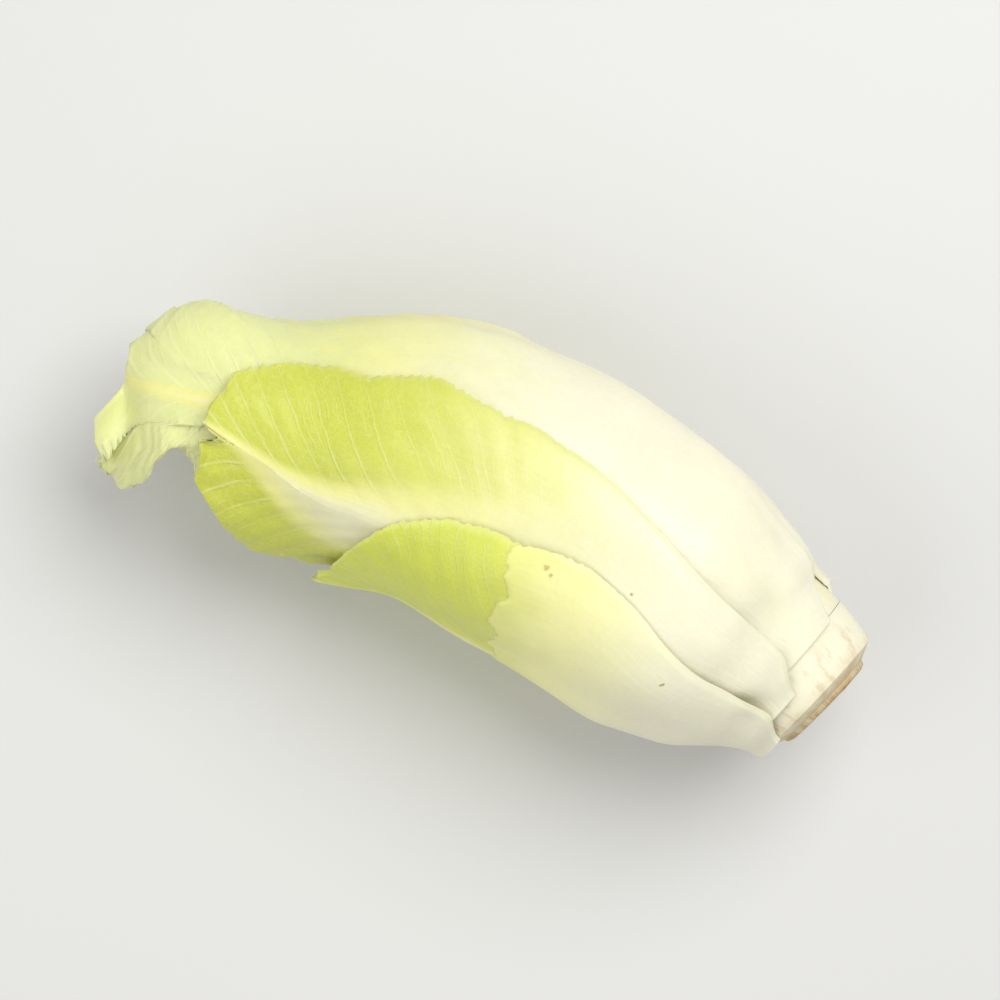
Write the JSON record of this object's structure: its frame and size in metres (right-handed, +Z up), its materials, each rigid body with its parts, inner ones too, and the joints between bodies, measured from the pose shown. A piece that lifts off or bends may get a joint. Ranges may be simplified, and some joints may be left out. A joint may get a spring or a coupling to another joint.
{
  "type": "belgian endive",
  "caption": "Whole head of forced chicory with overlapping pale leaves, yellow-green at their tips, and a trimmed stem butt, lying on its side.",
  "frame": {"origin": "on the surface the head lies on, below the centre of its bounding box", "axes": "+X along the head from the tip towards the trimmed base, +Z up from the surface, +Y to the side"},
  "size_m": [0.1472, 0.0596, 0.0591],
  "materials": {
    "stem": "satin",
    "heart": "satin",
    "green_leaf": "satin",
    "pale_leaf": "satin",
    "inner_leaf": "satin"
  },
  "bodies": {
    "root": {"stem_core": "stem", "heart_bud": "heart", "leaf_01": "green_leaf", "leaf_02": "green_leaf", "leaf_03": "green_leaf", "leaf_04": "green_leaf", "leaf_05": "pale_leaf", "leaf_06": "pale_leaf", "leaf_07": "pale_leaf", "leaf_08": "inner_leaf", "leaf_09": "inner_leaf", "leaf_10": "inner_leaf", "leaf_11": "inner_leaf", "leaf_12": "inner_leaf", "leaf_13": "inner_leaf", "leaf_14": "inner_leaf"}
  },
  "joints": []
}
